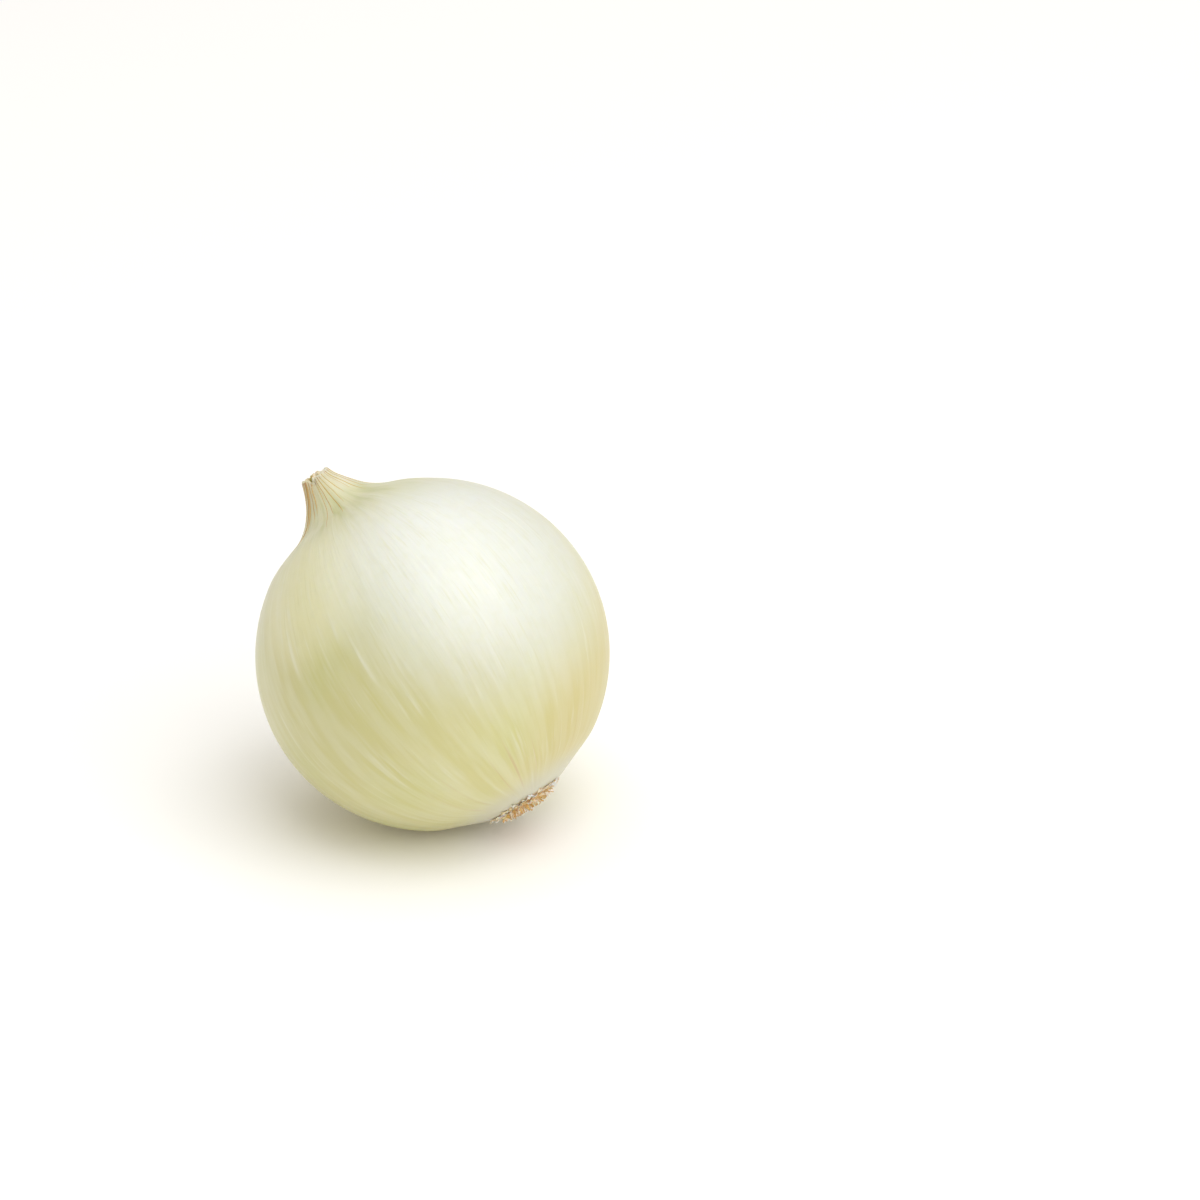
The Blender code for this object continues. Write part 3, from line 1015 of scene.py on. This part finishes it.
def plate_disc_tree():
    """Presses a ball flat, and moves its points by lumps."""
    tree = new_tree("root_disc", PLATE_DISC)
    given = tree_inputs(tree)
    counts = {"Segments": DISC_SIDES, "Rings": DISC_RINGS}
    ball = flow(tree, "GeometryNodeMeshUVSphere", {**counts, "Radius": 1.0})
    x, y, z = parts_of(flow(tree, "GeometryNodeInputPosition"))
    lump_space = (x * LUMPS_ACROSS, y * LUMPS_ACROSS, z * LUMPS_DOWN + given["Seed"])
    lumps = uneven(vector_of(tree, *lump_space), 4.0, 0.6, 1.0)
    edge = uneven(vector_of(tree, x * EDGE_WAVES, y * EDGE_WAVES, given["Seed"]), 2.0, 0.5, 1.0)
    reach = given["Radius"] * (1 + given["Edge share"] * edge)
    down = (z * given["Half depth"] - lumps * given["Lump depth"]) - given["Middle"]
    place = vector_of(tree, x * reach, y * reach, down)
    ball = store(tree, ball, "shade", vector_of(tree, lumps + 0.5, edge + 0.5, z))
    end_tree(tree, moved(tree, ball, place), given["Material"])
    return tree


# %% The root plate's finish
CORK_PORES = 5000.0


def cork_finish():
    """Matt brown cork with pale pores."""
    material, tree, shader = new_finish("root_cork", Roughness=0.8)
    lumps, edge, _ = parts_of(kept(tree, "shade"))
    pores = noise(own_space(tree), CORK_PORES, detail=4.0, roughness=0.6)
    colour = blend(lumps.rise(0.35, 0.65), paint("B98C50"), paint("E0BE84"))
    colour = wash(colour, pores.rise(0.5, 0.72, 0.0, 0.7), "E0CCA4")
    feed(tree, shader.inputs["Base Color"], colour)
    dent(tree, shader, pores + edge, strength=0.8, depth=0.0001)
    return material


root_disc = grow(empty_piece("root_disc"), plate_disc_tree(), PLATE_DISC, cork_finish())
register(root_disc, "root_plate")

# %% Root stubs
ROOT_STUBS = {
    "Count": 190,
    "Inner reach": 0.0,
    "Outer reach": 0.0023,
    "Base": 0.01506,
    "Inner splay": math.radians(8),
    "Outer splay": math.radians(62),
    "Shortest": 0.00025,
    "Longest": 0.00062,
    "Half width": 0.000105,
    "Half depth": 0.00009,
    "Tip share": 0.65,
    "Tilt spread": 0.3,
    "Aim spread": 0.7,
    "Curl": 0.35,
    "Crumple": 0.5,
}
stub_finish = sprig_finish("dried_root", "B88640", "EAC67C", "FFFAEC", 0.55)
grow_sprigs("root_stubs", ROOT_STUBS, stub_finish, "root_plate")

# %% Papery flakes round the root plate
ROOT_FLAKES = {
    "Count": 280,
    "Inner reach": 0.0016,
    "Outer reach": 0.0030,
    "Base": 0.01499,
    "Inner splay": math.radians(68),
    "Outer splay": math.radians(106),
    "Shortest": 0.0003,
    "Longest": 0.00078,
    "Half width": 0.00014,
    "Half depth": 0.00003,
    "Tip share": 0.4,
    "Tilt spread": 0.12,
    "Aim spread": 0.9,
    "Curl": 0.12,
    "Crumple": 0.4,
}
flake_finish = sprig_finish("dried_flake", "D8A65C", "F8E6BC", "FFFEFA", 0.45)
grow_sprigs("root_flakes", ROOT_FLAKES, flake_finish, "root_plate")

# %% Shreds on the neck's rim
NECK_SHREDS = {
    "Count": 30,
    "Inner reach": 0.00090,
    "Outer reach": 0.00118,
    "Base": NECK_TOP - 0.0003,
    "Inner splay": math.radians(-40),
    "Outer splay": math.radians(-4),
    "Shortest": 0.0003,
    "Longest": 0.0006,
    "Half width": 0.00023,
    "Half depth": 0.00003,
    "Tip share": 0.45,
    "Tilt spread": 0.3,
    "Aim spread": 0.7,
    "Curl": 0.4,
    "Crumple": 0.5,
}
shred_finish = sprig_finish("dried_shred", "C9A066", "EBD8AC", "FAF1DC", 0.5)
UPSIDE_DOWN = Matrix.Rotation(math.pi, 4, "X")
grow_sprigs("neck_shreds", NECK_SHREDS, shred_finish, "bulb", IN_NECK @ UPSIDE_DOWN)

# %% [markdown]
# ## Table, light and camera
# A pale table and two large soft lamps keep the ivory clean. A picture of a real room could light
# the onion too, but two lamps and a plain sky are easier to understand and to change. The table
# gives off a little warm light of its own, so the shadow under the onion is brown instead of grey.

# %% Table
TABLE_HALF = 2.0
TABLE_FINISH = {
    "Base_Color": (0.96, 0.95, 0.935, 1),
    "Roughness": 0.9,
    "Specular_IOR_Level": 0.0,
    "Emission_Color": (1.0, 0.88, 0.76, 1),
    "Emission_Strength": 0.065,
}


def flat_table():
    """One matt square, much larger than the onion."""
    mesh = bpy.data.meshes.new("table")
    corners = [(-1, -1), (1, -1), (1, 1), (-1, 1)]
    mesh.from_pydata([(x * TABLE_HALF, y * TABLE_HALF, 0) for x, y in corners], [], [(0, 1, 2, 3)])
    mesh.materials.append(new_finish("table_white", **TABLE_FINISH)[0])
    return add_object("table", mesh)


flat_table()

# %% Light
SCENE = bpy.context.scene
LAMP_WHITE = (0.97, 0.992, 1.0)
SKY_WHITE = (1, 0.97, 0.935, 1)
SKY_STRENGTH = 0.5


def soft_light(name, direction, distance, size, power):
    """A square lamp that faces the onion from that direction."""
    data = bpy.data.lights.new(name, "AREA")
    data.shape = "SQUARE"
    data.size = size
    data.energy = power
    data.color = LAMP_WHITE
    lamp = add_object(name, data)
    towards = Vector(direction).normalized()
    lamp.location = body_middle + towards * distance
    lamp.rotation_euler = towards.to_track_quat("Z", "Y").to_euler()


soft_light("key_light", (0.596, -0.123, 0.795), distance=0.6, size=0.6, power=2.0)
soft_light("overhead_light", (0.0, 0.15, 1.0), distance=0.9, size=1.0, power=3.5)
SCENE.world = bpy.data.worlds.new("studio")
SCENE.world.use_nodes = True
sky = SCENE.world.node_tree.nodes["Background"]
sky.inputs["Color"].default_value = SKY_WHITE
sky.inputs["Strength"].default_value = SKY_STRENGTH
SCENE.view_settings.view_transform = "Standard"

# %% Camera
VIEW_AZIMUTH = math.radians(38)
VIEW_ELEVATION = math.radians(25)
VIEW_DISTANCE = 0.45
VIEW_LENS = 159.2
CLIP_START = 0.01
AIM_RIGHT = 0.01425
AIM_UP = 0.00441


def look_at_onion():
    """The onion is left of the picture's middle, so the camera aims a little beside it."""
    sin_a, cos_a = math.sin(VIEW_AZIMUTH), math.cos(VIEW_AZIMUTH)
    sin_e, cos_e = math.sin(VIEW_ELEVATION), math.cos(VIEW_ELEVATION)
    to_camera = Vector((sin_a * cos_e, -cos_a * cos_e, sin_e))
    right = Vector((cos_a, sin_a, 0))
    up = to_camera.cross(right)
    data = bpy.data.cameras.new("camera")
    data.lens = VIEW_LENS
    data.clip_start = CLIP_START
    camera = add_object("camera", data)
    camera.location = body_middle + VIEW_DISTANCE * to_camera
    aim = body_middle + AIM_RIGHT * right + AIM_UP * up
    camera.rotation_euler = (camera.location - aim).to_track_quat("Z", "Y").to_euler()
    return camera


SCENE.camera = look_at_onion()
